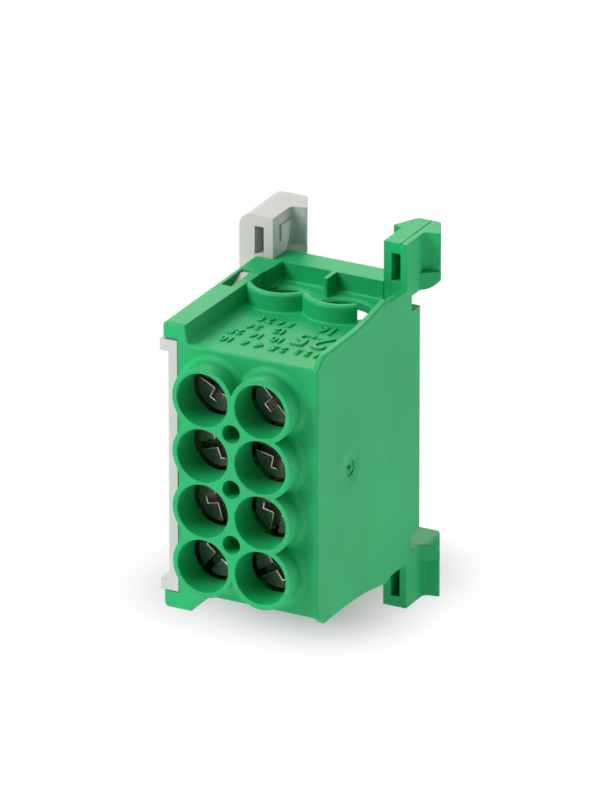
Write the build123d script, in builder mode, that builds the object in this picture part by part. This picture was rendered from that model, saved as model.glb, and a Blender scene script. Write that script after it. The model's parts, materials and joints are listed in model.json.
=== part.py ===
from build123d import *
import os
from math import cos, radians, sin

# Single-pole power distribution block: a moulded housing, open on its left side, an end plate that
# closes it, one brass terminal body and eight clamp screws.
#
# Frame, in millimetres: +X to the right across the pole, +Y from the front face to the back, +Z up.
# The origin is the centre of the four feet, in the plane of their rear faces.
# The block is the same above and below its mid-height, so most features are made above and mirrored.

# Housing envelope
POLE_WIDTH = 27.0            # joint plane to the right side's outer face
BODY_HEIGHT = 46.5           # over the top and bottom plates
BODY_DEPTH = 38.5            # front face to rear wall
SIDE_WALL = 1.2
PLATE_WALL = 1.85            # front, top and bottom plates
REAR_WALL = 1.3

# Feet and the panel that they grip
POLE_GAP = 0.3               # pole width less the pitch of the feet's slots
FOOT_INSET = 2.15            # slot centre to the right side's outer face
FOOT_SPAN = 68.7             # over the tips of the upper and lower feet
FOOT_CLEAR = 0.9             # gap between a plate and the foot above it
FOOT_LAP = 5.0               # front of a foot, in front of the body's rear face
PANEL_GAP = 2.3              # room for the mounting panel between body and flange
FLANGE_THICKNESS = 4.8
FLANGE_REACH = 2.9           # flange beyond the foot's block
GREEN_FLANGE_LEFT = 1.8
FLANGE_SLANT = 0.6           # the flange's front face leans back by this over its reach
FLANGE_BLEND = 1.2           # between the block's side and the flange
FLANGE_TIP_ROUND = 0.3
REAR_CORNERS = (0.5, 0.4)    # to the right of the block's left and right sides
FLANGE_REAR_ROUND = 1.2
HOOK_HEIGHT = 3.15           # ramp to the flange's inner end
HOOK_PROUD = 1.7             # its start, in front of the flange
HOOK_ROUND = 2.6             # outer corner of the flange's inner end
STEM_DEPTH = 1.9             # neck that joins a foot to the body
NOTCH_DEPTH = 2.0            # notch under a foot, below the plate's outer face
NOTCH_WIDTH = 2.0
FOOT_SLOT = (1.75, 5.2)      # width and height of the pocket in a foot's front
FOOT_SLOT_TIP = 2.0          # foot tip to the pocket
FOOT_SLOT_DEPTH = 9.0
GREEN_FOOT_LEFT = 2.35       # foot block, from the slot's centre
GREY_FOOT_LEFT = 3.95
GREY_FOOT_RIGHT = 2.75
FOOT_ROUND = 2.3             # outer edge of the end plate's feet
FOOT_FIT = 0.1               # ledge to the end plate's foot
PARTING_LINE = (0.15, 0.2)   # width and depth of the line along a foot's tip
PARTING_AT = 0.95            # line from the slot's centre

# Screw wells
COLUMN_PITCH = 11.2
COLUMN_SHIFT = 0.9           # wells left of the pole's middle
ROWS = 4
WELL_MARGIN = 7.725          # first row's centre to the plate's outer face
WELL_WEB = 0.55              # between the nearest wells
RIM_WALL = 1.0
RIM_PROUD = 4.45             # rim plane in front of the front face
RIM_ROUND = 0.2
ROOT_ROUND = 1.25
ROOT_ROOM = 2.0              # front plate made this much too wide, for the roots, and cut back
FRONT_ROUND = 0.45           # outer edges of the front face
BLEND_MARGIN = 0.1           # flat left beside a blend in a section, and overlap of what is joined
TEST_HOLE_RADIUS = 1.7
TEST_TUBE_WALL = 1.0

# Conductor entries
ENTRY_BEHIND = 12.1          # entry's centre to the body's rear face
ENTRY_RADIUS = 5.0
ENTRY_CHAMFER = 0.5
COLLAR_INNER = 5.7
COLLAR_WALL = 1.4
COLLAR_ROUND = 0.6
COLLAR_ROOT = 0.4
COLLAR_START = -148.0        # degrees about an entry, from +X
COLLAR_ENDS = {"left": -32.0, "right": -42.0}
DIVIDER = (0.85, 3.5)
DIVIDER_SHIFT = 0.4
DIVIDER_ROUND = 0.3
REAR_WINDOW = (15.6, 4.8)
REAR_WINDOW_TOP = 2.65       # plate's outer face to the window's edge

# Raised edges on the top and bottom plates
EDGE_RISE = 3.55
STRIP_FRONT = 1.35           # strip's inner edge at the front, from the joint plane
STRIP_MIDDLE = 1.85          # at its bend, beside the collars
STRIP_REAR = 2.8
STRIP_BEND = 4.4             # bend in front of the entries' centres
STRIP_TOE = 0.65             # the front part's inner face runs out by this at its foot
STRIP_OVERHANG = 3.0         # strip over the end plate
STRIP_GAP = 0.45             # plate's outer face to the strip's underside
STRIP_ROUND = 0.9
STRIP_ROOT = 0.9             # blend between the strip's inner face and the plate
LOWER_TOE = (0.85, 2.75)     # broader foot of the lower strip
LOWER_TOE_END = 7.4          # its end, in front of the entries' centres
LEDGE_DEPTH = 5.1
LEDGE_WALL = 1.2
LEDGE_ROOT = 0.4
LATCH_WINDOW = (1.95, 7.8)
LATCH_WINDOW_LEFT = 1.75     # window's left edge, left of the joint plane
LATCH_WINDOW_FRONT = 7.2     # its front, in front of the entries' centres
LIP_START = (0.6, 2.7)       # the side's edge rises between these, behind the front face
LIP_RISE = 1.8               # its height above the plate, at the front
LIP_STRAIGHT = 17.2          # end of its straight stretch, in front of its peak
LIP_MIDDLE = (7.7, 0.45)     # point of its curve: in front of the peak, above the straight stretch
LIP_PEAK = 3.4
LIP_PEAK_SHIFT = 0.2         # peak in front of the entries' centres
LIP_DROP = 1.6
LIP_REAR_RISE = 2.75
LIP_PEAK_SLOPE = 0.12
LIP_ROUND = 0.4
PIP = (12.2, 0.6)            # gate mark on the right side
PIP_RADIUS = 0.45
PIP_DISH_RADIUS = 1.5
PIP_DISH_DEPTH = 0.25

# Terminal body
BORE_RADIUS = 4.2
BORE_WALL = 1.2
TERMINAL_REACH = 9.6         # its front, in front of the bores' centres
TERMINAL_CLEAR = 2.0         # to the top and bottom plates
TERMINAL_CHAMFER = 0.4
RIB_WIDTH = 1.2
SIDE_RIBS = (8.6, 1.8)       # fronts of the ribs beside it, in front of the bores' centres
SIDE_RIB_SHORT = 4.4         # ribs end this far inside its ends
REAR_RIB_SHORT = 2.8         # and these inside the rear windows

# Clamp screws
HEAD_CLEAR = 0.4             # head to the well's wall
HEAD_HEIGHT = 2.6
HEAD_AT = 2.2                # screw face behind the front face
HEAD_ROUND = 0.35
THREAD_RADIUS = 3.0
THREAD_FIT = 0.05
SHANK_POINT = 0.8
SHANK_SHORT = 0.4            # screw tip in front of the conductor bore
SLOT = (1.3, 1.5)            # width and depth
CROSS_SPAN = 5.4
SCREW_TURNS = {
    "left": (28, -18, 74, -52),
    "right": (46, 12, 100, -32),
}

# End plate
END_WALL = 1.75
END_GAP = 0.15               # shadow gap at the joint plane
END_EDGE = 0.25              # end plate's edge beyond the housing's plates
END_RIB_PROUD = 1.65
END_RIB_WIDTH = 2.1
LOCATING_RIM = (1.0, 1.3)
FIT = 0.15
HOOK_SIZE = (1.5, 7.4)
HOOK_LOW = 0.4
HOOK_HIGH = 3.0
HOOK_LAND = 0.9
FOOT_PAD = (4.2, 3.0, 0.3)   # depth, height and thickness of the pad on a foot's inner side
FOOT_PAD_TIP = 2.05          # foot tip to the pad
FOOT_PAD_STEP = (1.2, 1.3)   # its lower rear corner is left out

# Planes and centres that follow
PANEL_FACE = BODY_DEPTH + PANEL_GAP
TOTAL_DEPTH = PANEL_FACE + FLANGE_THICKNESS
FOOT_PITCH = POLE_WIDTH - POLE_GAP
JOINT_X = FOOT_PITCH / 2 + FOOT_INSET - POLE_WIDTH
FACE_Y = -TOTAL_DEPTH
PLATE_Z = BODY_HEIGHT / 2
EDGE_Z = PLATE_Z + EDGE_RISE
FOOT_TIP_Z = FOOT_SPAN / 2
FOOT_LOW_Z = PLATE_Z + FOOT_CLEAR
FOOT_START = BODY_DEPTH - FOOT_LAP
INNER_Z = PLATE_Z - PLATE_WALL
ENTRY_AT = BODY_DEPTH - ENTRY_BEHIND
LEDGE_START = BODY_DEPTH - LEDGE_DEPTH
STRIP_BEND_AT = ENTRY_AT - STRIP_BEND
LATCH_WINDOW_START = ENTRY_AT - LATCH_WINDOW_FRONT
HOOK_START = LATCH_WINDOW_START + (LATCH_WINDOW[1] - HOOK_SIZE[1]) / 2
LIP_PEAK_AT = ENTRY_AT - LIP_PEAK_SHIFT
WINDOW_Z = PLATE_Z - REAR_WINDOW_TOP
BODY_FRONT = ENTRY_AT - TERMINAL_REACH
TERMINAL_Z = INNER_Z - TERMINAL_CLEAR
SIDE_RIB_Z = TERMINAL_Z - SIDE_RIB_SHORT
REAR_RIB_Z = WINDOW_Z - REAR_WINDOW[1] - REAR_RIB_SHORT
ROW_PITCH = (BODY_HEIGHT - 2 * WELL_MARGIN) / (ROWS - 1)
WELL_RADIUS = (min(ROW_PITCH, COLUMN_PITCH) - WELL_WEB) / 2
HEAD_RADIUS = WELL_RADIUS - HEAD_CLEAR
MID_COLUMN = POLE_WIDTH / 2 - COLUMN_SHIFT
COLUMNS = {"left": MID_COLUMN - COLUMN_PITCH / 2, "right": MID_COLUMN + COLUMN_PITCH / 2}
ROW_HEIGHTS = [ROW_PITCH * ((ROWS - 1) / 2 - row) for row in range(ROWS)]
TEST_HEIGHTS = [(upper + lower) / 2 for upper, lower in zip(ROW_HEIGHTS, ROW_HEIGHTS[1:])]
WELLS = [(JOINT_X + x, z) for x in COLUMNS.values() for z in ROW_HEIGHTS]
TEST_HOLES = [(JOINT_X + MID_COLUMN, z) for z in TEST_HEIGHTS]
LOBE_RADIUS = BORE_RADIUS + BORE_WALL
GREEN_FOOT_X = POLE_WIDTH - FOOT_INSET
GREY_FOOT_X = GREEN_FOOT_X - FOOT_PITCH


def x_at(distance):
    """Place across the pole, from a distance to the right of the joint plane."""
    return JOINT_X + distance


def y_at(distance):
    """Place along the depth, from a distance behind the front face."""
    return FACE_Y + distance


def front_plane(distance):
    """Plane parallel to the front face, facing forward, at a distance behind it."""
    return Plane.XZ.offset(-y_at(distance))


def side_plane(distance):
    """Plane parallel to the sides, facing right, at a distance from the joint plane."""
    return Plane.YZ.offset(x_at(distance))


def box_between(x, y, z, mode=Mode.ADD):
    """Box between two distances from the joint plane, two behind the front face and two heights."""
    with Locations((x_at(sum(x) / 2), y_at(sum(y) / 2), sum(z) / 2)):
        Box(x[1] - x[0], y[1] - y[0], z[1] - z[0], mode=mode)


def plan(points, low, high, mode=Mode.ADD):
    """Prism between two heights over an outline seen from above."""
    with BuildSketch(Plane.XY.offset(low)) as base:
        with BuildLine():
            Polyline([(x_at(x), y_at(y)) for x, y in points], close=True)
        make_face()
    extrude(base.sketch, amount=high - low, mode=mode)


def strip_section(distance, inner, toe):
    """Section of the strip over the end plate, at a distance behind the front face.

    inner is its upper inner edge's distance from the joint plane, and toe is how far its inner face
    runs out below that edge. It reaches down into the plate, with its root blended into the plate.
    """
    root = (x_at(inner + toe), PLATE_Z)
    with BuildSketch(front_plane(distance)) as section:
        with BuildLine():
            Polyline(
                (x_at(0), PLATE_Z - FRONT_ROUND),
                (x_at(inner + toe + STRIP_ROOT + BLEND_MARGIN), PLATE_Z - FRONT_ROUND),
                (x_at(inner + toe + STRIP_ROOT + BLEND_MARGIN), PLATE_Z),
                root,
                (x_at(inner), EDGE_Z),
                (x_at(-STRIP_OVERHANG), EDGE_Z),
                (x_at(-STRIP_OVERHANG), PLATE_Z + STRIP_GAP),
                (x_at(0), PLATE_Z + STRIP_GAP),
                close=True,
            )
        make_face()
        fillet(section.vertices().sort_by_distance(root)[0], STRIP_ROOT)
        fillet(section.vertices().group_by(Axis.Y)[-1].sort_by(Axis.X)[0], STRIP_ROUND)
    return section.sketch


def plug_in_foot(slot_x, left, right, left_reach):
    """Upper foot: a block with a pocket in its front and a tapered flange behind the panel.

    slot_x is the pocket's centre, left and right are the block's reach either side of it, and
    left_reach is the flange's reach beyond the block on the left. Gives the foot as a part.
    """
    x0, x1 = slot_x - left, slot_x + right
    neck = PANEL_FACE - FLANGE_SLANT
    tip = x1 + FLANGE_REACH
    rear_left = x0 + REAR_CORNERS[0] if left_reach else x0
    rear_right = x1 + REAR_CORNERS[1]
    with BuildPart(mode=Mode.PRIVATE) as foot:
        # block and flange, blended on the right
        with BuildSketch(Plane.XY.offset(FOOT_LOW_Z)) as outline:
            with BuildLine():
                points = [
                    (x0, FOOT_START),
                    (x1, FOOT_START),
                    (x1, neck),
                    (tip, PANEL_FACE),
                    (rear_right, TOTAL_DEPTH),
                    (rear_left, TOTAL_DEPTH),
                ]
                if left_reach:
                    points += [(x0 - left_reach, PANEL_FACE), (x0, neck)]
                Polyline([(x_at(x), y_at(y)) for x, y in points], close=True)
            make_face()
            for (x, y), radius in (((x1, neck), FLANGE_BLEND), ((tip, PANEL_FACE), FLANGE_TIP_ROUND),
                                   ((rear_right, TOTAL_DEPTH), FLANGE_REAR_ROUND)):
                fillet(outline.vertices().sort_by_distance((x_at(x), y_at(y)))[0], radius)
            if left_reach:
                rear_corner = (x_at(rear_left), y_at(TOTAL_DEPTH))
                fillet(outline.vertices().sort_by_distance(rear_corner)[0], FLANGE_REAR_ROUND)
        extrude(outline.sketch, amount=FOOT_TIP_Z - FOOT_LOW_Z)
        # ramp from the block's side to the flange's inner end, with a round outer corner
        ramp = [(x1 - BLEND_MARGIN, neck - HOOK_PROUD), (x1, neck - HOOK_PROUD), (tip, PANEL_FACE),
                (x1 - BLEND_MARGIN, PANEL_FACE)]
        plan(ramp, FOOT_LOW_Z, FOOT_LOW_Z + HOOK_HEIGHT)
        with BuildSketch(front_plane(TOTAL_DEPTH)) as corner:
            with Locations((x_at(tip), FOOT_LOW_Z)):
                Rectangle(HOOK_ROUND, HOOK_ROUND, align=(Align.MAX, Align.MIN))
            with Locations((x_at(tip - HOOK_ROUND), FOOT_LOW_Z + HOOK_ROUND)):
                Circle(HOOK_ROUND, mode=Mode.SUBTRACT)
        extrude(corner.sketch, amount=TOTAL_DEPTH - neck + HOOK_PROUD, mode=Mode.SUBTRACT)
        slot_top = FOOT_TIP_Z - FOOT_SLOT_TIP
        box_between(
            (slot_x - FOOT_SLOT[0] / 2, slot_x + FOOT_SLOT[0] / 2),
            (FOOT_START, FOOT_START + FOOT_SLOT_DEPTH),
            (slot_top - FOOT_SLOT[1], slot_top),
            mode=Mode.SUBTRACT,
        )
    return foot.part


with BuildPart() as housing:
    # upper half of the tray that is open on the left
    box_between((-ROOT_ROOM, POLE_WIDTH), (0, BODY_DEPTH), (0, PLATE_Z))
    # ledge behind the conductor entries
    green_foot_left = GREEN_FOOT_X - GREEN_FOOT_LEFT
    ledge_left = GREY_FOOT_X + GREY_FOOT_RIGHT + FOOT_FIT
    box_between((ledge_left, green_foot_left), (LEDGE_START, BODY_DEPTH), (PLATE_Z, EDGE_Z))
    with BuildSketch(side_plane(green_foot_left)) as ledge_root:
        with Locations((y_at(LEDGE_START), PLATE_Z)):
            Rectangle(LEDGE_ROOT, LEDGE_ROOT, align=(Align.MAX, Align.MIN))
        with Locations((y_at(LEDGE_START - LEDGE_ROOT), PLATE_Z + LEDGE_ROOT)):
            Circle(LEDGE_ROOT, mode=Mode.SUBTRACT)
    extrude(amount=ledge_left - green_foot_left)
    # strip over the end plate, bent beside the collars and wider towards the ledge
    loft([strip_section(0, STRIP_FRONT, STRIP_TOE), strip_section(STRIP_BEND_AT, STRIP_MIDDLE, STRIP_TOE)])
    loft([strip_section(STRIP_BEND_AT, STRIP_MIDDLE, 0), strip_section(LEDGE_START, STRIP_REAR, 0)])
    # outer edges of the front face, but for the open left side
    front_edges = housing.edges().filter_by_position(Axis.Y, FACE_Y, FACE_Y)
    fillet(
        front_edges.filter_by(lambda edge: edge.center().Z > PLATE_Z + STRIP_GAP)
        + front_edges.filter_by(lambda edge: 0 < edge.center().Z <= PLATE_Z + STRIP_GAP and edge.center().X > JOINT_X),
        FRONT_ROUND,
    )
    # side's edge, standing proud of the plate and rising beside the entries
    straight_end = LIP_PEAK_AT - LIP_STRAIGHT
    with BuildPart(mode=Mode.PRIVATE) as lip:
        with BuildSketch(side_plane(POLE_WIDTH)) as lip_outline:
            with BuildLine():
                Polyline(
                    (y_at(LIP_START[0]), PLATE_Z),
                    (y_at(LIP_START[1]), PLATE_Z + LIP_RISE),
                    (y_at(straight_end), PLATE_Z + LIP_RISE),
                )
                Spline(
                    (y_at(straight_end), PLATE_Z + LIP_RISE),
                    (y_at(LIP_PEAK_AT - LIP_MIDDLE[0]), PLATE_Z + LIP_RISE + LIP_MIDDLE[1]),
                    (y_at(LIP_PEAK_AT), PLATE_Z + LIP_PEAK),
                    tangents=[(1, 0), (1, LIP_PEAK_SLOPE)],
                )
                Polyline(
                    (y_at(LIP_PEAK_AT), PLATE_Z + LIP_PEAK),
                    (y_at(LIP_PEAK_AT + LIP_DROP), PLATE_Z + LIP_REAR_RISE),
                    (y_at(FOOT_START), PLATE_Z + LIP_REAR_RISE),
                    (y_at(FOOT_START), PLATE_Z),
                    (y_at(LIP_START[0]), PLATE_Z),
                )
            make_face()
        extrude(amount=-SIDE_WALL)
        rim_edges = lip.edges().filter_by_position(Axis.X, x_at(POLE_WIDTH), x_at(POLE_WIDTH))
        fillet(
            rim_edges.filter_by(lambda edge: edge.center().Z > PLATE_Z and edge.center().Y < y_at(FOOT_START)),
            LIP_ROUND,
        )
    add(lip.part)
    # foot with its neck, and the notch below it
    add(plug_in_foot(GREEN_FOOT_X, GREEN_FOOT_LEFT, FOOT_INSET, GREEN_FLANGE_LEFT))
    parting_x = GREEN_FOOT_X + PARTING_AT
    box_between(
        (parting_x - PARTING_LINE[0] / 2, parting_x + PARTING_LINE[0] / 2),
        (FOOT_START, TOTAL_DEPTH),
        (FOOT_TIP_Z - PARTING_LINE[1], FOOT_TIP_Z),
        mode=Mode.SUBTRACT,
    )
    box_between(
        (green_foot_left, POLE_WIDTH),
        (FOOT_START, FOOT_START + STEM_DEPTH),
        (PLATE_Z, FOOT_LOW_Z),
    )
    box_between(
        (POLE_WIDTH - NOTCH_WIDTH, POLE_WIDTH),
        (FOOT_START + STEM_DEPTH, BODY_DEPTH),
        (PLATE_Z - NOTCH_DEPTH, PLATE_Z),
        mode=Mode.SUBTRACT,
    )
    # collars in front of the conductor entries, each turned about its entry's axis
    for column, end in COLLAR_ENDS.items():
        entry = (x_at(COLUMNS[column]), y_at(ENTRY_AT), PLATE_Z)
        start = radians(COLLAR_START)
        radial = Plane(entry, x_dir=(cos(start), sin(start), 0), z_dir=(sin(start), -cos(start), 0))
        with BuildSketch(radial) as collar:
            with Locations((COLLAR_INNER, -FRONT_ROUND)):
                Rectangle(COLLAR_WALL, EDGE_RISE + FRONT_ROUND, align=(Align.MIN, Align.MIN))
                Rectangle(COLLAR_WALL + COLLAR_ROOT + BLEND_MARGIN, FRONT_ROUND, align=(Align.MIN, Align.MIN))
            root = (COLLAR_INNER + COLLAR_WALL, 0)
            fillet(collar.vertices().sort_by(lambda corner: abs(corner.X - root[0]) + abs(corner.Y))[0], COLLAR_ROOT)
            fillet(collar.vertices().group_by(Axis.Y)[-1], COLLAR_ROUND)
        revolve(axis=Axis(entry, (0, 0, 1)), revolution_arc=end - COLLAR_START)
    # divider between the entries
    divider_x = MID_COLUMN + DIVIDER_SHIFT
    with BuildPart(mode=Mode.PRIVATE) as divider:
        box_between(
            (divider_x - DIVIDER[0] / 2, divider_x + DIVIDER[0] / 2),
            (LEDGE_START - DIVIDER[1], LEDGE_START),
            (PLATE_Z, EDGE_Z),
        )
        fillet(divider.edges().filter_by(Axis.Z).group_by(Axis.Y)[0], DIVIDER_ROUND)
    add(divider.part)
    mirror(about=Plane.XY)
    # broader foot of the lower strip, in front of the entries
    with BuildPart(mode=Mode.PRIVATE) as lower_toe:
        with BuildSketch(front_plane(0)) as toe_outline:
            with BuildLine():
                Polyline(
                    (x_at(0), FRONT_ROUND - PLATE_Z),
                    (x_at(0), -EDGE_Z),
                    (x_at(STRIP_FRONT + LOWER_TOE[0]), -EDGE_Z),
                    (x_at(STRIP_FRONT + LOWER_TOE[1]), -PLATE_Z),
                    (x_at(STRIP_FRONT + LOWER_TOE[1]), FRONT_ROUND - PLATE_Z),
                    close=True,
                )
            make_face()
        extrude(amount=LOWER_TOE_END - ENTRY_AT)
        toe_front = lower_toe.edges().filter_by_position(Axis.Y, FACE_Y, FACE_Y)
        fillet(toe_front.filter_by(lambda edge: edge.center().Z < -PLATE_Z and edge.center().X > JOINT_X), FRONT_ROUND)
    add(lower_toe.part)
    # wells standing proud of the front face, joined by a web
    with BuildSketch(front_plane(0)) as well_outline:
        with Locations(*WELLS):
            Circle(WELL_RADIUS + RIM_WALL)
        with Locations((x_at(MID_COLUMN), 0)):
            Rectangle(COLUMN_PITCH, ROW_PITCH * (ROWS - 1))
    extrude(amount=RIM_PROUD)
    # roots of the wells blended into the front face
    root_reach = WELL_RADIUS + RIM_WALL + ROOT_ROUND
    with BuildPart(mode=Mode.PRIVATE) as well_root:
        with BuildSketch(Plane.XY) as cove:
            with Locations((WELL_RADIUS, -ROOT_ROUND)):
                Rectangle(root_reach - WELL_RADIUS, ROOT_ROUND + FRONT_ROUND, align=(Align.MIN, Align.MIN))
            with Locations((root_reach, -ROOT_ROUND)):
                Circle(ROOT_ROUND, mode=Mode.SUBTRACT)
        revolve(axis=Axis.Y)
    with Locations(*[(x, FACE_Y, z) for x, z in WELLS]):
        add(well_root.part)
    box_between((-ROOT_ROOM, 0), (-ROOT_ROUND, BODY_DEPTH), (-PLATE_Z, PLATE_Z), mode=Mode.SUBTRACT)
    # cavity, open on the left, and the hollow inside each ledge
    box_between(
        (0, POLE_WIDTH - SIDE_WALL),
        (PLATE_WALL, BODY_DEPTH - REAR_WALL),
        (-INNER_Z, INNER_Z),
        mode=Mode.SUBTRACT,
    )
    box_between(
        (ledge_left + 2 * LEDGE_WALL, green_foot_left - LEDGE_WALL),
        (LEDGE_START + LEDGE_WALL, BODY_DEPTH - REAR_WALL),
        (LEDGE_WALL - EDGE_Z, EDGE_Z - LEDGE_WALL),
        mode=Mode.SUBTRACT,
    )
    # wells and test holes through the front
    with BuildSketch(front_plane(-RIM_PROUD)) as well_holes:
        with Locations(*WELLS):
            Circle(WELL_RADIUS)
    extrude(amount=-RIM_PROUD - PLATE_WALL, mode=Mode.SUBTRACT)
    rims = housing.edges().filter_by(GeomType.CIRCLE).filter_by_position(
        Axis.Y, FACE_Y - RIM_PROUD, FACE_Y - RIM_PROUD
    )
    fillet(rims, RIM_ROUND)
    with BuildSketch(front_plane(PLATE_WALL)) as test_tubes:
        with Locations(*TEST_HOLES):
            Circle(TEST_HOLE_RADIUS + TEST_TUBE_WALL)
    extrude(amount=PLATE_WALL - BODY_FRONT)
    with BuildSketch(front_plane(-RIM_PROUD)) as test_holes:
        with Locations(*TEST_HOLES):
            Circle(TEST_HOLE_RADIUS)
    extrude(amount=-RIM_PROUD - BODY_FRONT, mode=Mode.SUBTRACT)
    # conductor entries, chamfered on the outside
    for side in (1, -1):
        for x in COLUMNS.values():
            with Locations((x_at(x), y_at(ENTRY_AT), side * (PLATE_Z - PLATE_WALL / 2))):
                Cylinder(ENTRY_RADIUS, PLATE_WALL, mode=Mode.SUBTRACT)
            with Locations(Location((x_at(x), y_at(ENTRY_AT), side * (PLATE_Z - ENTRY_CHAMFER / 2)),
                                    (90 - 90 * side, 0, 0))):
                Cone(ENTRY_RADIUS, ENTRY_RADIUS + ENTRY_CHAMFER, ENTRY_CHAMFER, mode=Mode.SUBTRACT)
            with Locations((x_at(x), y_at(ENTRY_AT), side * (PLATE_Z + EDGE_RISE / 2))):
                Cylinder(ENTRY_RADIUS, EDGE_RISE, mode=Mode.SUBTRACT)
        # rear window behind the terminal body
        box_between(
            (MID_COLUMN - REAR_WINDOW[0] / 2, MID_COLUMN + REAR_WINDOW[0] / 2),
            (BODY_DEPTH - 2 * REAR_WALL, BODY_DEPTH),
            sorted((side * (WINDOW_Z - REAR_WINDOW[1]), side * WINDOW_Z)),
            mode=Mode.SUBTRACT,
        )
        # latch window through the strip
        box_between(
            (-LATCH_WINDOW_LEFT, LATCH_WINDOW[0] - LATCH_WINDOW_LEFT),
            (LATCH_WINDOW_START, LATCH_WINDOW_START + LATCH_WINDOW[1]),
            sorted((side * PLATE_Z, side * EDGE_Z)),
            mode=Mode.SUBTRACT,
        )
        # solid corner that backs the notch
        box_between(
            (POLE_WIDTH - SIDE_WALL - NOTCH_WIDTH, POLE_WIDTH - SIDE_WALL),
            (FOOT_START, BODY_DEPTH - REAR_WALL),
            sorted((side * (INNER_Z - PLATE_WALL), side * INNER_Z)),
        )
        # stop above and below the terminal body, between the entries
        box_between(
            (MID_COLUMN - RIB_WIDTH / 2, MID_COLUMN + RIB_WIDTH / 2),
            (BODY_FRONT + RIB_WIDTH, ENTRY_AT - ENTRY_RADIUS),
            sorted((side * TERMINAL_Z, side * INNER_Z)),
        )
    # ribs that locate the terminal body from the right and from behind
    for reach in SIDE_RIBS:
        box_between(
            (COLUMNS["right"] + LOBE_RADIUS, POLE_WIDTH - SIDE_WALL),
            (ENTRY_AT - reach, ENTRY_AT - reach + RIB_WIDTH),
            (-SIDE_RIB_Z, SIDE_RIB_Z),
        )
    for x in COLUMNS.values():
        box_between(
            (x - RIB_WIDTH / 2, x + RIB_WIDTH / 2),
            (ENTRY_AT + LOBE_RADIUS, BODY_DEPTH - REAR_WALL),
            (-REAR_RIB_Z, REAR_RIB_Z),
        )
    # gate mark on the right side: a pip in a shallow dish
    with Locations(Location((x_at(POLE_WIDTH), y_at(PIP[0]), PIP[1]), (0, 90, 0))):
        Cylinder(PIP_DISH_RADIUS, 2 * PIP_DISH_DEPTH, mode=Mode.SUBTRACT)
        Cylinder(PIP_RADIUS, 2 * PIP_DISH_DEPTH)

with BuildPart() as end_plate:
    outer_x = -END_GAP - END_WALL
    edge_z = PLATE_Z + END_EDGE
    box_between((outer_x, -END_GAP), (0, BODY_DEPTH), (0, edge_z))
    # edge rib that shows below the housing's strip
    box_between((outer_x - END_RIB_PROUD, outer_x), (0, BODY_DEPTH), (edge_z - END_RIB_WIDTH, edge_z))
    # latch hook that rises into the housing's window
    with BuildSketch(side_plane(-END_GAP)) as hook:
        with BuildLine():
            Polyline(
                (y_at(HOOK_START), edge_z),
                (y_at(HOOK_START), edge_z + HOOK_LOW),
                (y_at(HOOK_START + HOOK_SIZE[1] - HOOK_LAND), edge_z + HOOK_HIGH),
                (y_at(HOOK_START + HOOK_SIZE[1]), edge_z + HOOK_HIGH),
                (y_at(HOOK_START + HOOK_SIZE[1]), edge_z),
                close=True,
            )
        make_face()
    extrude(amount=-HOOK_SIZE[0])
    # foot with its neck
    add(plug_in_foot(GREY_FOOT_X, GREY_FOOT_LEFT, GREY_FOOT_RIGHT, 0))
    grey_left = GREY_FOOT_X - GREY_FOOT_LEFT
    grey_right = GREY_FOOT_X + GREY_FOOT_RIGHT
    box_between(
        (grey_left, -END_GAP),
        (FOOT_START, FOOT_START + STEM_DEPTH),
        (edge_z - END_RIB_WIDTH, FOOT_LOW_Z),
    )
    box_between(
        (grey_left, -END_GAP),
        (FOOT_START + STEM_DEPTH, BODY_DEPTH),
        (PLATE_Z - NOTCH_DEPTH, FOOT_LOW_Z),
        mode=Mode.SUBTRACT,
    )
    # low pad on the foot's inner side, stepped at its lower rear corner
    pad_top = FOOT_TIP_Z - FOOT_PAD_TIP
    pad_rear = PANEL_FACE - FLANGE_SLANT
    pad_middle = pad_rear - FOOT_PAD_STEP[0]
    box_between((grey_right, grey_right + FOOT_PAD[2]), (pad_rear - FOOT_PAD[0], pad_middle),
                (pad_top - FOOT_PAD[1], pad_top))
    box_between((grey_right, grey_right + FOOT_PAD[2]), (pad_middle, pad_rear),
                (pad_top - FOOT_PAD[1] + FOOT_PAD_STEP[1], pad_top))
    fillet(end_plate.edges().filter_by(Axis.Y).group_by(Axis.Z)[-1].sort_by(Axis.X)[0], FOOT_ROUND)
    mirror(about=Plane.XY)
    # rim that locates the plate in the housing's open side
    rim_y = (PLATE_WALL + FIT, BODY_DEPTH - REAR_WALL - FIT)
    rim_z = INNER_Z - FIT
    box_between((-END_GAP, LOCATING_RIM[1]), rim_y, (-rim_z, rim_z))
    box_between(
        (-END_GAP, LOCATING_RIM[1]),
        (rim_y[0] + LOCATING_RIM[0], rim_y[1] - LOCATING_RIM[0]),
        (LOCATING_RIM[0] - rim_z, rim_z - LOCATING_RIM[0]),
        mode=Mode.SUBTRACT,
    )
    for reach in SIDE_RIBS:
        box_between(
            (-END_GAP, COLUMNS["left"] - LOBE_RADIUS),
            (ENTRY_AT - reach, ENTRY_AT - reach + RIB_WIDTH),
            (-SIDE_RIB_Z, SIDE_RIB_Z),
        )

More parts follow.
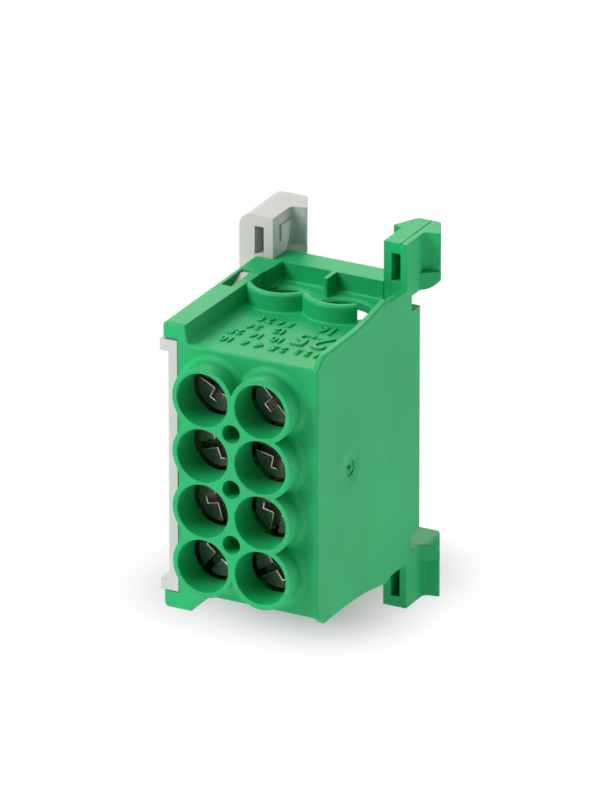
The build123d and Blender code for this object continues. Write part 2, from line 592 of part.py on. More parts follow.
with BuildPart() as terminal_body:
    # extruded profile: a thick threaded front with a round lobe about each conductor bore
    with BuildSketch(Plane.XY.offset(-TERMINAL_Z)) as profile:
        centres = [(x_at(x), y_at(ENTRY_AT)) for x in COLUMNS.values()]
        with Locations(*centres):
            Circle(LOBE_RADIUS)
        with Locations((x_at(MID_COLUMN), y_at((BODY_FRONT + ENTRY_AT) / 2))):
            Rectangle(COLUMN_PITCH + 2 * LOBE_RADIUS, ENTRY_AT - BODY_FRONT)
        with Locations(*centres):
            Circle(BORE_RADIUS, mode=Mode.SUBTRACT)
    extrude(amount=2 * TERMINAL_Z)
    bore_mouths = terminal_body.edges().filter_by(GeomType.CIRCLE).filter_by(
        lambda edge: abs(edge.radius - BORE_RADIUS) < 0.01
    )
    chamfer(bore_mouths, TERMINAL_CHAMFER)
    with BuildSketch(front_plane(BODY_FRONT)) as threads:
        with Locations(*WELLS):
            Circle(THREAD_RADIUS)
    extrude(amount=BODY_FRONT - ENTRY_AT, mode=Mode.SUBTRACT)

with BuildPart() as clamp_screw:
    # turned blank about Y, with its face at the origin
    shank_end = ENTRY_AT - BORE_RADIUS - SHANK_SHORT - HEAD_AT
    shank_radius = THREAD_RADIUS - THREAD_FIT
    with BuildSketch(Plane.XY) as turned:
        with BuildLine():
            Polyline(
                (0, 0),
                (HEAD_RADIUS, 0),
                (HEAD_RADIUS, HEAD_HEIGHT),
                (shank_radius, HEAD_HEIGHT),
                (shank_radius, shank_end - SHANK_POINT),
                (shank_radius - SHANK_POINT, shank_end),
                (0, shank_end),
                close=True,
            )
        make_face()
    revolve(axis=Axis.Y)
    head_edge = clamp_screw.edges().filter_by(GeomType.CIRCLE).sort_by(Axis.Y)[0]
    fillet(head_edge, HEAD_ROUND)
    # slot across the head, crossed by a shorter one
    with Locations((0, SLOT[1] / 2, 0)):
        Box(2 * HEAD_RADIUS, SLOT[1], SLOT[0], mode=Mode.SUBTRACT)
        Box(SLOT[0], SLOT[1], CROSS_SPAN, mode=Mode.SUBTRACT)

housing.part.label = "housing"
end_plate.part.label = "end_plate"
terminal_body.part.label = "terminal_body"

os.makedirs("parts", exist_ok=True)
export_step(housing.part, "parts/housing.step")
export_step(end_plate.part, "parts/end_plate.step")
export_step(terminal_body.part, "parts/terminal_body.step")

for column, x in COLUMNS.items():
    for row, (height, turn) in enumerate(zip(ROW_HEIGHTS, SCREW_TURNS[column]), start=1):
        with BuildPart() as placed_screw:
            with Locations(Location((x_at(x), y_at(HEAD_AT), height), (0, turn, 0))):
                add(clamp_screw.part)
        placed_screw.part.label = f"clamp_screw_{column}_{row}"
        export_step(placed_screw.part, f"parts/{placed_screw.part.label}.step")
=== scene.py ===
"""Looks of a single-pole power distribution block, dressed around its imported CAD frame.

The mouldings, the terminal body and the clamp screws keep the forms and places of their CAD solids.
Each one gets softened edges and a procedural finish, and the top plate gets its raised figures.
Everything is in metres, in the frame of the CAD model: +X to the right across the pole, +Y from the
front face to the back and +Z up, with the origin between the four feet, in the plane of their rear
faces.
"""

import json
import logging
import math
from collections.abc import Sequence
from dataclasses import dataclass
from enum import Enum

import bmesh
import bpy
from mathutils import Matrix, Vector

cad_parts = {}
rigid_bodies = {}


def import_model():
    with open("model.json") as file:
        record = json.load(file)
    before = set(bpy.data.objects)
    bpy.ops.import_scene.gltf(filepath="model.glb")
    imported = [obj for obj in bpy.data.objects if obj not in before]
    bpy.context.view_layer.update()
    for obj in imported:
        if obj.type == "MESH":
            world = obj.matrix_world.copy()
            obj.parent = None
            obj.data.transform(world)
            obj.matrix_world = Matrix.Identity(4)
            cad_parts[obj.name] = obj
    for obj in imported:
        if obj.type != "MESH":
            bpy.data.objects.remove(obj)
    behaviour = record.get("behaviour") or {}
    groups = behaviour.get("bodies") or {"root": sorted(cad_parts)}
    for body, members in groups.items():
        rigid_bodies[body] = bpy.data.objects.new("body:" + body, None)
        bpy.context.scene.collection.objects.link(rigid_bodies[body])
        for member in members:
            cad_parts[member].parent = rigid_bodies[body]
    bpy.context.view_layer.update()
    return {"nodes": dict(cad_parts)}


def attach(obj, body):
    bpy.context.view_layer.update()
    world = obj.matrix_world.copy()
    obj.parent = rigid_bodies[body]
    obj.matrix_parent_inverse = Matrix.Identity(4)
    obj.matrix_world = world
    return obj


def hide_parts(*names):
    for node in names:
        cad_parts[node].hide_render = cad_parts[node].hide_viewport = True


Pair = tuple[float, float]
Triple = tuple[float, float, float]
Socket = bpy.types.NodeSocket

MM = 0.001
BODY = "root"
MERGE_DISTANCE = 0.002 * MM         # points closer than this are one point
FLAT_ANGLE = math.radians(0.4)      # facets that meet at less than this are one flat face
EDGE_LENGTHS = 4.0                  # a broken edge is at least this many roundings long
EDGE_ROOM = 2.2                     # and the face on each side at least this many wide
FIGURE_HEIGHT = 0.73                # a figure's height over its lettering's size
BLACK_TO_WHITE = (0.0, 1.0)
log = logging.getLogger("power_distribution_block")


class Slot(Enum):
    """Material slots of the record, which each finish names."""

    GREEN = "housing_green"
    GREY = "end_plate_grey"
    BRASS = "terminal_brass"
    STEEL = "screw_steel"


class Column(Enum):
    """The two columns of screw wells, as the nodes name them."""

    LEFT = "left"
    RIGHT = "right"


@dataclass(frozen=True)
class BlockFrame:
    """Where the block's main planes lie in the frame, in millimetres."""

    joint_x: float = -11.5
    face_y: float = -45.6
    plate_z: float = 23.25

    def point(self, across: float, behind: float, height: float) -> Vector:
        """Gives a point in metres.

        Args:
            across: distance to the right of the joint plane, in millimetres.
            behind: distance behind the front face, in millimetres.
            height: height above the block's middle, in millimetres.

        Returns:
            The point in the frame.
        """
        return Vector((self.joint_x + across, self.face_y + behind, height)) * MM


@dataclass(frozen=True)
class Noise:
    """A noise pattern: how many features fit in a metre, its finer octaves and their strength."""

    per_metre: float
    detail: float
    roughness: float = 0.5


class ShaderGraph:
    """A material's or a world's node tree, with short calls to add and link its nodes."""

    def __init__(self, tree: bpy.types.NodeTree) -> None:
        """Empties the tree.

        Args:
            tree: the node tree to build in.
        """
        self.tree = tree
        tree.nodes.clear()

    def add(self, kind: str, **settings: object) -> bpy.types.Node:
        """Adds a node.

        Args:
            kind: the node's type, such as ShaderNodeMix.
            settings: properties of the node, by name.

        Returns:
            The new node.
        """
        node = self.tree.nodes.new(kind)
        for name, value in settings.items():
            setattr(node, name, value)
        return node

    def link(self, source: Socket, target: Socket) -> None:
        """Links an output to an input."""
        self.tree.links.new(source, target)

    def place(self) -> Socket:
        """Gives the shaded point's Object coordinates, which are metres in the frame."""
        return self.add("ShaderNodeTexCoord").outputs["Object"]

    def noise(self, vector: Socket, pattern: Noise) -> Socket:
        """Adds a noise pattern.

        Args:
            vector: coordinates in metres.
            pattern: the noise.

        Returns:
            The noise as a value about 0.5.
        """
        node = self.add("ShaderNodeTexNoise", noise_dimensions="3D")
        self.link(vector, node.inputs["Vector"])
        node.inputs["Scale"].default_value = pattern.per_metre
        node.inputs["Detail"].default_value = pattern.detail
        node.inputs["Roughness"].default_value = pattern.roughness
        return node.outputs["Fac"]

    def remap(self, value: Socket, old: Pair, new: Pair, smooth: bool = False) -> Socket:
        """Maps a value from one range to another, clamped.

        Args:
            value: the value to map.
            old: its range.
            new: the range it is mapped to.
            smooth: True for a smooth step.

        Returns:
            The mapped value.
        """
        step = "SMOOTHSTEP" if smooth else "LINEAR"
        node = self.add("ShaderNodeMapRange", interpolation_type=step)
        self.link(value, node.inputs["Value"])
        for name, number in zip(("From Min", "From Max", "To Min", "To Max"), (*old, *new)):
            node.inputs[name].default_value = number
        return node.outputs["Result"]

    def blend(self, factor: Socket, first: Triple, second: Triple) -> Socket:
        """Blends two colours.

        Args:
            factor: 0 for the first colour, 1 for the second.
            first: linear red, green and blue.
            second: linear red, green and blue.

        Returns:
            The blended colour.
        """
        node = self.add("ShaderNodeMix", data_type="RGBA")
        self.link(factor, node.inputs["Factor"])
        node.inputs[6].default_value = (*first, 1.0)
        node.inputs[7].default_value = (*second, 1.0)
        return node.outputs[2]

    def larger(self, first: Socket, second: Socket) -> Socket:
        """Gives the larger of two values."""
        node = self.add("ShaderNodeMath", operation="MAXIMUM")
        self.link(first, node.inputs[0])
        self.link(second, node.inputs[1])
        return node.outputs[0]

    def vector_math(self, operation: str, first: Socket, second: Triple | None = None) -> Socket:
        """Works on a vector, component by component.

        Args:
            operation: the Vector Math node's operation.
            first: the vector.
            second: the other vector, where the operation takes one.

        Returns:
            The resulting vector.
        """
        node = self.add("ShaderNodeVectorMath", operation=operation)
        self.link(first, node.inputs[0])
        if second is not None:
            node.inputs[1].default_value = second
        return node.outputs[0]

    def length(self, vector: Socket) -> Socket:
        """Gives a vector's length."""
        node = self.add("ShaderNodeVectorMath", operation="LENGTH")
        self.link(vector, node.inputs[0])
        return node.outputs["Value"]

    def bump(self, height: Socket, distance: float, below: Socket | None = None) -> Socket:
        """Turns a height pattern into a bumped normal.

        Args:
            height: the pattern, from 0 to 1.
            distance: metres between its lowest and highest places.
            below: a bumped normal that this one is laid over.

        Returns:
            The normal.
        """
        node = self.add("ShaderNodeBump")
        node.inputs["Strength"].default_value = 1.0
        node.inputs["Distance"].default_value = distance
        self.link(height, node.inputs["Height"])
        if below is not None:
            self.link(below, node.inputs["Normal"])
        return node.outputs["Normal"]

    def paper(self, grey: float) -> Socket:
        """Gives the shader of matt paper of a grey from 0 to 1."""
        node = self.add("ShaderNodeBsdfDiffuse")
        node.inputs["Color"].default_value = (grey, grey, grey, 1.0)
        return node.outputs[0]

    def glow(self, strength: float) -> Socket:
        """Gives the shader of a surface that shines white."""
        node = self.add("ShaderNodeEmission")
        node.inputs["Strength"].default_value = strength
        return node.outputs[0]

    def sum_of(self, first: Socket, second: Socket) -> Socket:
        """Adds two shaders."""
        node = self.add("ShaderNodeAddShader")
        self.link(first, node.inputs[0])
        self.link(second, node.inputs[1])
        return node.outputs[0]

    def choice(self, factor: Socket, first: Socket, second: Socket) -> Socket:
        """Mixes two shaders.

        Args:
            factor: 0 for the first shader, 1 for the second.
            first: the first shader.
            second: the second shader.

        Returns:
            The mixed shader.
        """
        node = self.add("ShaderNodeMixShader")
        for source, target in zip((factor, first, second), node.inputs):
            self.link(source, target)
        return node.outputs[0]

    def seen(self) -> Socket:
        """Tells the rays that show the surroundings from those that light the block.

        Returns:
            1 for a camera, glossy or transmission ray, and 0 otherwise.
        """
        path = self.add("ShaderNodeLightPath")
        glossy = self.larger(path.outputs["Is Camera Ray"], path.outputs["Is Glossy Ray"])
        return self.larger(glossy, path.outputs["Is Transmission Ray"])


def new_material(name: str, shader: str) -> tuple[bpy.types.Material, ShaderGraph, bpy.types.Node]:
    """Makes a material whose surface is one shader node.

    Args:
        name: the material's name.
        shader: the shader node's type.

    Returns:
        The material, its node tree and the shader node.
    """
    material = bpy.data.materials.new(name)
    material.use_nodes = True
    graph = ShaderGraph(material.node_tree)
    output = graph.add("ShaderNodeOutputMaterial")
    surface = graph.add(shader)
    graph.link(surface.outputs[0], output.inputs["Surface"])
    return material, graph, surface


@dataclass(frozen=True)
class MouldedPlastic:
    """Moulded polyamide with the fine spark-eroded grain of its mould."""

    name: str
    slot: Slot
    colour: Triple
    flow_colour: Triple
    roughness: Pair = (0.54, 0.68)
    refraction: float = 1.45
    edge_round: float = 0.25 * MM
    edge_samples: int = 6
    grain: Noise = Noise(3400.0, 2.0, 0.6)
    grain_band: Pair = (0.35, 0.65)
    grain_depth: float = 0.006 * MM
    flow: Noise = Noise(75.0, 3.0, 0.55)
    flow_band: Pair = (0.3, 0.7)
    flow_stretch: Triple = (1.0, 1.0, 0.55)
    flow_depth: float = 0.05 * MM
    gate: Triple | None = None
    gate_reach: Pair = (0.8 * MM, 4.2 * MM)
    gate_depth: float = 0.55 * MM

    def build(self) -> bpy.types.Material:
        """Builds the material.

        Returns:
            A Principled material on Object coordinates.
        """
        material, graph, shader = new_material(self.name, "ShaderNodeBsdfPrincipled")
        place = graph.place()
        drawn = graph.vector_math("MULTIPLY", place, self.flow_stretch)
        flow = graph.noise(drawn, self.flow)
        grain = graph.noise(place, self.grain)
        flowed = graph.remap(flow, self.flow_band, BLACK_TO_WHITE)
        colour = graph.blend(flowed, self.colour, self.flow_colour)
        roughness = graph.remap(grain, self.grain_band, self.roughness)
        graph.link(colour, shader.inputs["Base Color"])
        graph.link(roughness, shader.inputs["Roughness"])
        graph.link(self.relief(graph, place, flow, grain), shader.inputs["Normal"])
        shader.inputs["IOR"].default_value = self.refraction
        return material

    def relief(self, graph: ShaderGraph, place: Socket, flow: Socket, grain: Socket) -> Socket:
        """Lays the flow pattern, the sink round the gate and the grain over the softened edges.

        Args:
            graph: the material's node tree.
            place: coordinates in metres.
            flow: the flow pattern.
            grain: the grain.

        Returns:
            The normal.
        """
        soft_edge = graph.add("ShaderNodeBevel", samples=self.edge_samples)
        soft_edge.inputs["Radius"].default_value = self.edge_round
        normal = graph.bump(flow, self.flow_depth, below=soft_edge.outputs["Normal"])
        if self.gate is not None:
            distance = graph.length(graph.vector_math("SUBTRACT", place, self.gate))
            sink = graph.remap(distance, self.gate_reach, BLACK_TO_WHITE, smooth=True)
            normal = graph.bump(sink, self.gate_depth, below=normal)
        return graph.bump(grain, self.grain_depth, below=normal)


@dataclass(frozen=True)
class WorkedMetal:
    """Drawn, turned or plated metal, with fine lines along one axis and a film of two tints."""

    name: str
    slot: Slot
    colour: Triple
    film_colour: Triple
    roughness: Pair
    stretch: Triple
    lines: Noise = Noise(3000.0, 2.0)
    line_band: Pair = (0.3, 0.7)
    line_depth: float = 0.004 * MM
    film: Noise = Noise(420.0, 3.0, 0.6)
    film_band: Pair = (0.4, 0.62)

    def build(self) -> bpy.types.Material:
        """Builds the material.

        Returns:
            A metallic Principled material on Object coordinates.
        """
        material, graph, shader = new_material(self.name, "ShaderNodeBsdfPrincipled")
        place = graph.place()
        film = graph.noise(place, self.film)
        filmed = graph.remap(film, self.film_band, BLACK_TO_WHITE, smooth=True)
        lines = graph.noise(graph.vector_math("MULTIPLY", place, self.stretch), self.lines)
        roughness = graph.remap(lines, self.line_band, self.roughness)
        graph.link(graph.blend(filmed, self.colour, self.film_colour), shader.inputs["Base Color"])
        graph.link(roughness, shader.inputs["Roughness"])
        graph.link(graph.bump(lines, self.line_depth), shader.inputs["Normal"])
        shader.inputs["Metallic"].default_value = 1.0
        return material


GREEN_PLASTIC = MouldedPlastic(
    "green_polyamide", Slot.GREEN, colour=(0.001, 0.415, 0.139), flow_colour=(0.001, 0.350, 0.113),
    gate=(15.5 * MM, -33.4 * MM, 0.6 * MM))
GREY_PLASTIC = MouldedPlastic(
    "grey_polyamide", Slot.GREY, colour=(0.520, 0.545, 0.560), flow_colour=(0.490, 0.515, 0.530))
DRAWN_BRASS = WorkedMetal(
    "drawn_brass", Slot.BRASS, colour=(0.72, 0.50, 0.20), film_colour=(0.60, 0.40, 0.16),
    roughness=(0.22, 0.42), stretch=(1.0, 1.0, 0.03))
PASSIVATED_STEEL = WorkedMetal(
    "passivated_steel", Slot.STEEL, colour=(0.250, 0.210, 0.240), film_colour=(0.285, 0.235, 0.225),
    roughness=(0.16, 0.30), stretch=(1.0, 0.2, 1.0))
# Painted glints: a brighter metal for the screws' rounded edges that face forward, standing in for
# highlights.
PAINTED_GLINT_EDGES = WorkedMetal(
    "painted_glint_edges", Slot.STEEL, colour=(0.62, 0.53, 0.34), film_colour=(0.40, 0.36, 0.30),
    roughness=(0.14, 0.28), stretch=(1.0, 0.2, 1.0))


class Bench:
    """The bench that pieces are worked on: selection, edit mode and modifiers, one at a time."""

    SHARP = math.radians(40.0)      # edges sharper than this are rounded, and stay sharp in shading
    LEVEL_WEIGHT = 100              # how far broad faces rule the normals beside them

    @staticmethod
    def clear() -> None:
        """Deselects everything."""
        for thing in bpy.context.view_layer.objects:
            thing.select_set(False)

    @staticmethod
    def take(piece: bpy.types.Object) -> None:
        """Makes a piece the only one selected, and active."""
        Bench.clear()
        piece.select_set(True)
        bpy.context.view_layer.objects.active = piece

    @staticmethod
    def weld(piece: bpy.types.Object, flatten: bool) -> None:
        """Merges a piece's loose faces to a closed mesh with its outside out.

        Args:
            piece: the piece.
            flatten: True to make one face of the triangles of a flat face.
        """
        Bench.take(piece)
        bpy.ops.object.mode_set(mode="EDIT")
        bpy.ops.mesh.select_all(action="SELECT")
        bpy.ops.mesh.remove_doubles(threshold=MERGE_DISTANCE)
        if flatten:
            bpy.ops.mesh.dissolve_limited(angle_limit=FLAT_ANGLE, delimit={"NORMAL"})
        bpy.ops.mesh.normals_make_consistent(inside=False)
        bpy.ops.object.mode_set(mode="OBJECT")

    @staticmethod
    def copy_of(node: bpy.types.Object, name: str) -> bpy.types.Object:
        """Copies a CAD node's mesh to a new piece and merges its loose triangles.

        Args:
            node: the CAD node.
            name: the new piece's name.

        Returns:
            The new piece, a closed mesh with its flat faces whole.
        """
        piece = bpy.data.objects.new(name, node.data.copy())
        piece.data.name = name
        piece.data.materials.clear()
        bpy.context.scene.collection.objects.link(piece)
        Bench.weld(piece, flatten=True)
        return piece

    @staticmethod
    def soften(piece: bpy.types.Object, width: float, steps: int) -> None:
        """Rounds all of a piece's sharp edges, as little as the smallest facet beside them allows.

        Args:
            piece: the piece.
            width: width of the rounding, in metres.
            steps: faces across the rounding.
        """
        bevel = piece.modifiers.new("soft_edges", "BEVEL")
        bevel.width = width
        bevel.segments = steps
        bevel.limit_method = "ANGLE"
        bevel.angle_limit = Bench.SHARP
        bevel.use_clamp_overlap = True
        bevel.miter_outer = "MITER_ARC"
        Bench.apply_smoothly(piece, bevel)

    @staticmethod
    def break_edges(piece: bpy.types.Object, width: float, steps: int) -> None:
        """Rounds a piece's long outer edges in full: those with a broad face on each side.

        Args:
            piece: the piece.
            width: width of the rounding, in metres.
            steps: faces across the rounding.
        """
        mesh = bmesh.new()
        mesh.from_mesh(piece.data)
        weight = mesh.edges.layers.float.new("bevel_weight_edge")
        for edge in mesh.edges:
            length = edge.calc_length()
            if len(edge.link_faces) != 2 or length < EDGE_LENGTHS * width:
                continue
            room = min(face.calc_area() for face in edge.link_faces) / length
            if edge.calc_face_angle_signed() > Bench.SHARP and room > EDGE_ROOM * width:
                edge[weight] = 1.0
        mesh.to_mesh(piece.data)
        mesh.free()
        bevel = piece.modifiers.new("broken_edges", "BEVEL")
        bevel.width = width
        bevel.segments = steps
        bevel.limit_method = "WEIGHT"
        bevel.use_clamp_overlap = False
        Bench.apply_smoothly(piece, bevel)

    @staticmethod
    def apply_smoothly(piece: bpy.types.Object, bevel: bpy.types.Modifier) -> None:
        """Applies a rounding and shades the piece smooth, with its broad faces level.

        Args:
            piece: the piece.
            bevel: its rounding.
        """
        Bench.take(piece)
        bpy.ops.object.modifier_apply(modifier=bevel.name)
        bpy.ops.object.shade_smooth_by_angle(angle=Bench.SHARP)
        level = piece.modifiers.new("level_faces", "WEIGHTED_NORMAL")
        level.weight = Bench.LEVEL_WEIGHT
        level.keep_sharp = True
        bpy.ops.object.modifier_apply(modifier=level.name)

    @staticmethod
    def finish(piece: bpy.types.Object, material: bpy.types.Material, slot: Slot,
               *nodes: str) -> None:
        """Gives a piece its material, seats it on the body and hides what it stands for.

        Args:
            piece: the piece.
            material: its finish.
            slot: the record's slot that the finish belongs to; not used.
            nodes: CAD nodes that the piece replaces.
        """
        piece.data.materials.clear()
        piece.data.materials.append(material)
        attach(piece, BODY)
        if nodes:
            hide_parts(*nodes)
        log.info("%s: %d faces", piece.name, len(piece.data.polygons))


@dataclass
class Mouldings:
    """The green housing and the grey end plate that closes it."""

    nodes: dict[str, bpy.types.Object]
    edge_width: float = 0.2 * MM
    edge_steps: int = 3

    def build(self) -> None:
        """Builds both mouldings from their solids."""
        for node, name, plastic in (
            ("housing", "housing_moulding", GREEN_PLASTIC),
            ("end_plate", "end_plate_moulding", GREY_PLASTIC),
        ):
            piece = Bench.copy_of(self.nodes[node], name)
            Bench.soften(piece, self.edge_width, self.edge_steps)
            Bench.finish(piece, plastic.build(), plastic.slot, node)


@dataclass
class TerminalBody:
    """The brass body with its conductor bores."""

    nodes: dict[str, bpy.types.Object]
    edge_width: float = 0.12 * MM
    edge_steps: int = 2

    def build(self) -> None:
        """Builds the body from its solid."""
        piece = Bench.copy_of(self.nodes["terminal_body"], "terminal_extrusion")
        Bench.soften(piece, self.edge_width, self.edge_steps)
        Bench.finish(piece, DRAWN_BRASS.build(), DRAWN_BRASS.slot, "terminal_body")


@dataclass
class ClampScrews:
    """The eight clamp screws in the wells, darkly passivated, with painted glints of brighter metal
    on the forward-facing rounded edges along their recess.
    """

    nodes: dict[str, bpy.types.Object]
    rows: int = 4
    edge_width: float = 0.22 * MM
    edge_steps: int = 3
    glint_slope: Pair = (0.25, 0.97)

    def build(self) -> None:
        """Builds each screw from its solid."""
        steel = PASSIVATED_STEEL.build()
        glint_finish = PAINTED_GLINT_EDGES.build()
        for column in Column:
            for row in range(1, self.rows + 1):
                node = f"clamp_screw_{column.value}_{row}"
                piece = Bench.copy_of(self.nodes[node], f"plated_{node}")
                Bench.break_edges(piece, self.edge_width, self.edge_steps)
                Bench.finish(piece, steel, PASSIVATED_STEEL.slot, node)
                piece.data.materials.append(glint_finish)
                self.paint_glints(piece)

    def paint_glints(self, piece: bpy.types.Object) -> None:
        """Gives the rounded edges that face forward the brighter metal, a painted glint.

        Args:
            piece: a screw with both finishes in its material list.
        """
        # Painted glint: faces turned toward the front get the brighter metal.
        for face in piece.data.polygons:
            if self.glint_slope[0] < -face.normal.y < self.glint_slope[1]:
                face.material_index = 1


@dataclass(frozen=True)
class Figures:
    """A line of plain figures: what it reads, the middle of its place and how tall it stands."""

    text: str
    across: float
    behind: float
    height: float


@dataclass
class RaisedFigures:
    """Plain raised figures moulded on the top plate, to be read from behind the block."""

    block: BlockFrame
    lines: tuple[Figures, ...] = (
        Figures("2.5  4  6  10", 11.8, 5.4, 1.9),
        Figures("10  16  25", 10.6, 9.0, 1.9),
        Figures("12   34", 10.8, 12.4, 1.9),
        Figures("5 6 7 8", 10.6, 15.9, 1.8),
        Figures("25", 20.2, 11.2, 5.2),
        Figures("16", 20.4, 16.5, 2.8),
        Figures("1 2 3", 22.0, 5.9, 1.7),
    )
    proud: float = 0.34 * MM
    edge: float = 0.06 * MM
    edge_steps: int = 1
    bolder: float = 0.05 * MM
    curve_steps: int = 3

    def build(self) -> None:
        """Builds the lines and joins them to one piece."""
        pieces = [self.make_line(line) for line in self.lines]
        Bench.take(pieces[0])
        for piece in pieces[1:]:
            piece.select_set(True)
        bpy.ops.object.join()
        figures = bpy.context.object
        figures.name = "raised_figures"
        figures.data.name = figures.name
        Bench.finish(figures, GREEN_PLASTIC.build(), GREEN_PLASTIC.slot)

    def make_line(self, line: Figures) -> bpy.types.Object:
        """Makes a line as a closed mesh in its place.

        Args:
            line: the line.

        Returns:
            The line's object.
        """
        Bench.clear()
        place = self.block.point(line.across, line.behind, self.block.plate_z)
        bpy.ops.object.text_add(location=place, rotation=(0.0, 0.0, math.pi))
        letters = bpy.context.object.data
        letters.body = line.text
        letters.align_x = "CENTER"
        letters.align_y = "CENTER"
        letters.size = line.height * MM / FIGURE_HEIGHT
        letters.offset = self.bolder
        letters.resolution_u = self.curve_steps
        letters.extrude = self.proud - self.edge
        letters.bevel_depth = self.edge
        letters.bevel_resolution = self.edge_steps
        bpy.ops.object.convert(target="MESH")
        bpy.ops.object.transform_apply(location=True, rotation=True, scale=True)
        piece = bpy.context.object
        Bench.weld(piece, flatten=False)
        return piece


@dataclass(frozen=True)
class Lamp:
    """A square soft lamp: its name, its place from the lit point in metres, its side and watts."""

    name: str
    place: Triple
    side: float
    power: float


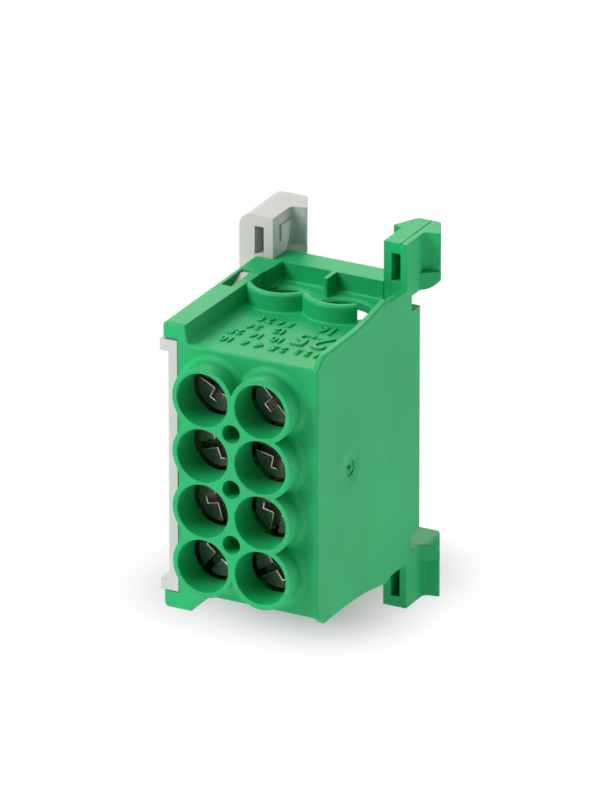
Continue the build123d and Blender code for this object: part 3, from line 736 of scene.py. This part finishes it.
@dataclass
class Studio:
    """Pale floor, soft lamps of faintly warm light and white surroundings."""

    block: BlockFrame
    floor_z: float = -34.4 * MM
    floor_size: float = 4.0
    floor_grey: float = 0.8
    bounce: float = 0.76
    # Painted shadow under the block: a rectangle where the floor shows a glow below white plus a
    # dim lit paper, fading to white around it.
    shade_middle: Pair = (5.0, 36.0)
    shade_half: Pair = (8.5, 8.0)
    shade_fade: float = 24.0 * MM
    shade_grey: float = 0.20
    shade_lift: float = 0.36
    ambient: float = 0.05
    lamp_tint: Triple = (1.0, 0.96, 0.87)
    lit_point: Triple = (13.5, 20.0, 0.0)
    lamps: tuple[Lamp, ...] = (
        Lamp("key_lamp", (-0.40, -0.50, 0.50), 0.40, 5.4),
        Lamp("top_lamp", (-0.10, -0.15, 0.75), 0.50, 1.7),
        Lamp("back_lamp", (-0.36, 0.60, 0.42), 0.50, 3.1),
        Lamp("side_lamp", (0.60, 0.45, 0.12), 0.40, 1.6),
    )

    def build(self) -> None:
        """Builds the floor, the world and the lamps."""
        self.make_floor()
        self.make_world()
        for lamp in self.lamps:
            self.make_lamp(lamp)
        bpy.context.scene.view_settings.view_transform = "Standard"

    def make_floor(self) -> None:
        """Makes the floor.

        Under the block it shows a painted shadow, a fixed darker rectangle that fades to white,
        with a dim paper in it that takes the block's real shadow from the lamps; further out it
        shows white, and it lights the block from below.
        """
        Bench.clear()
        bpy.ops.mesh.primitive_plane_add(size=self.floor_size, location=(0, 0, self.floor_z))
        floor = bpy.context.object
        floor.name = "floor"
        material, graph, surface = new_material("studio_floor", "ShaderNodeMixShader")
        lighting = graph.sum_of(graph.paper(self.floor_grey), graph.glow(self.bounce))
        shaded = graph.sum_of(graph.paper(self.shade_grey), graph.glow(self.shade_lift))
        showing = graph.choice(self.outside_shade(graph), shaded, graph.glow(1.0))
        for source, target in zip((graph.seen(), lighting, showing), surface.inputs):
            graph.link(source, target)
        floor.data.materials.append(material)

    def outside_shade(self, graph: ShaderGraph) -> Socket:
        """Marks where the floor's painted shadow fades out.

        Args:
            graph: the floor's node tree.

        Returns:
            0 in the rectangle under the block, rising to 1 around it.
        """
        middle = self.block.point(*self.shade_middle, 0.0)
        half = (self.shade_half[0] * MM, self.shade_half[1] * MM, 1.0)
        from_middle = graph.vector_math("SUBTRACT", graph.place(), (middle.x, middle.y, 0.0))
        outside = graph.vector_math("SUBTRACT", graph.vector_math("ABSOLUTE", from_middle), half)
        reach = graph.length(graph.vector_math("MAXIMUM", outside, (0.0, 0.0, 0.0)))
        return graph.remap(reach, (0.0, self.shade_fade), BLACK_TO_WHITE, smooth=True)

    def make_world(self) -> None:
        """Makes white surroundings that light the block more softly than they show."""
        world = bpy.data.worlds.new("studio_world")
        bpy.context.scene.world = world
        world.use_nodes = True
        graph = ShaderGraph(world.node_tree)
        output = graph.add("ShaderNodeOutputWorld")
        surroundings = graph.add("ShaderNodeBackground")
        surroundings.inputs["Color"].default_value = (1.0, 1.0, 1.0, 1.0)
        strength = graph.remap(graph.seen(), BLACK_TO_WHITE, (self.ambient, 1.0))
        graph.link(strength, surroundings.inputs["Strength"])
        graph.link(surroundings.outputs[0], output.inputs["Surface"])

    def make_lamp(self, lamp: Lamp) -> None:
        """Makes a lamp that points at the block.

        Args:
            lamp: the lamp.
        """
        light = bpy.data.lights.new(lamp.name, "AREA")
        light.size = lamp.side
        light.energy = lamp.power
        light.color = self.lamp_tint
        holder = bpy.data.objects.new(lamp.name, light)
        place = Vector(lamp.place)
        holder.location = self.block.point(*self.lit_point) + place
        holder.rotation_euler = (-place).to_track_quat("-Z", "Y").to_euler()
        bpy.context.scene.collection.objects.link(holder)


@dataclass
class PhotoCamera:
    """The camera, at the photograph's viewing angle: angles in degrees, clip range in metres."""

    block: BlockFrame
    azimuth: float = 27.6127
    elevation: float = 23.0079
    roll: float = 0.0556
    distance: float = 1992.34 * MM
    target: Triple = (13.5, 15.0, 0.0)
    aim_right: float = 2.027 * MM
    aim_up: float = 8.860 * MM
    focal_pixels: float = 11516.0
    image_height: float = 800.0
    sensor_height: float = 24.0
    clip: Pair = (0.1, 20.0)

    def build(self) -> None:
        """Builds the camera and makes it the scene's."""
        data = bpy.data.cameras.new("photo_camera")
        data.sensor_fit = "VERTICAL"
        data.sensor_height = self.sensor_height
        data.lens = self.focal_pixels * self.sensor_height / self.image_height
        data.clip_start, data.clip_end = self.clip
        camera = bpy.data.objects.new("photo_camera", data)
        camera.matrix_world = self.seat()
        bpy.context.scene.collection.objects.link(camera)
        bpy.context.scene.camera = camera

    def seat(self) -> Matrix:
        """Works out the camera's place and turn.

        Returns:
            The camera's matrix in the frame.
        """
        azimuth = math.radians(self.azimuth)
        elevation = math.radians(self.elevation)
        level = math.cos(elevation)
        back = Vector((math.sin(azimuth) * level, -math.cos(azimuth) * level, math.sin(elevation)))
        right = Vector((math.cos(azimuth), math.sin(azimuth), 0.0))
        up = back.cross(right)
        place = (self.block.point(*self.target) + right * self.aim_right + up * self.aim_up
                 + back * self.distance)
        facing = Matrix((right, up, back)).transposed().to_4x4()
        roll = Matrix.Rotation(math.radians(-self.roll), 4, "Z")
        return Matrix.Translation(place) @ facing @ roll


def main() -> None:
    """Loads the frame and builds the block's looks, the studio around it and the camera."""
    logging.basicConfig(level=logging.INFO, format="%(message)s")
    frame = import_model()
    block = BlockFrame()
    nodes = frame["nodes"]
    Mouldings(nodes).build()
    TerminalBody(nodes).build()
    ClampScrews(nodes).build()
    RaisedFigures(block).build()
    Studio(block).build()
    PhotoCamera(block).build()


if __name__ == "__main__":
    main()
